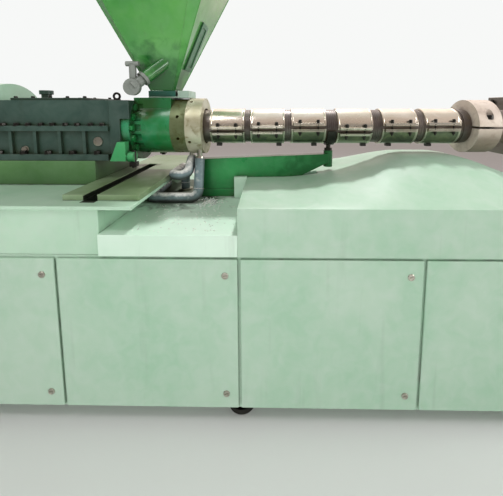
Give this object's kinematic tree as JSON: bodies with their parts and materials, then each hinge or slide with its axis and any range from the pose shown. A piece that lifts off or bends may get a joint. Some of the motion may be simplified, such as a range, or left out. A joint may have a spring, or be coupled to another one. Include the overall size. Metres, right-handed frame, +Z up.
{
  "type": "plastic extruder",
  "caption": "Single-screw plastic extruder on a steel bed, with gearbox, hopper, heated barrel, split head clamp and round die outlet.",
  "frame": {"origin": "on the floor, under the middle of the machine", "axes": "+X along the barrel towards the die, +Z up, the operator's side faces -Y"},
  "size_m": [2.876, 0.96, 2.06],
  "materials": {
    "mint_paint": "semi-gloss",
    "casting_green_paint": "gloss",
    "bracket_green_paint": "gloss",
    "gear_paint": "semi-gloss",
    "olive_paint": "semi-gloss",
    "plate_paint": "semi-gloss",
    "gate_steel": "satin",
    "teal_paint": "gloss",
    "window_frame": "satin",
    "valve_iron": "painted",
    "barrel_steel": "satin",
    "screw_steel": "polished",
    "band_steel": "polished",
    "ring_steel": "machined",
    "flange_ring_steel": "machined",
    "dark_steel": "blackened",
    "box_black": "matt",
    "pipe_zinc": "galvanised",
    "fitting_steel": "satin",
    "clamp_iron": "bare",
    "die_steel": "machined",
    "die_ring_steel": "machined"
  },
  "bodies": {
    "root": {"bed_cabinet": "mint_paint", "levelling_feet": "dark_steel", "bed_panels": "mint_paint", "low_deck": "mint_paint", "table_top": "mint_paint", "slotted_plate": "plate_paint", "barrel_hood": "mint_paint", "drive_pedestal": "olive_paint", "gearbox_body": "gear_paint", "gearbox_cover": "gear_paint", "gearbox_end_plate": "gear_paint", "lifting_eye": "dark_steel", "belt_guard": "mint_paint", "feed_housing": "casting_green_paint", "housing_bolts": "casting_green_paint", "housing_foot": "bracket_green_paint", "foot_bolts": "dark_steel", "spanner_ring": "ring_steel", "flange_ring": "flange_ring_steel", "barrel": "barrel_steel", "screw": "screw_steel", "heater_band_1": "band_steel", "heater_band_2": "band_steel", "heater_band_3": "band_steel", "heater_band_4": "band_steel", "heater_band_5": "band_steel", "heater_band_6": "band_steel", "band_bolts": "dark_steel", "terminal_boxes": "box_black", "support_arm": "casting_green_paint", "barrel_saddle": "dark_steel", "slide_gate": "gate_steel", "hopper_flange": "teal_paint", "hopper_body": "casting_green_paint", "hopper_rim": "casting_green_paint", "sight_window": "window_frame", "drain_spout": "casting_green_paint", "drain_valve": "valve_iron", "cooling_pipes": "pipe_zinc", "pipe_fittings": "fitting_steel", "clamp_halves": "clamp_iron", "head_bolts": "dark_steel", "die_adapter": "clamp_iron", "die_body": "die_steel", "die_ring": "die_ring_steel"}
  },
  "joints": []
}
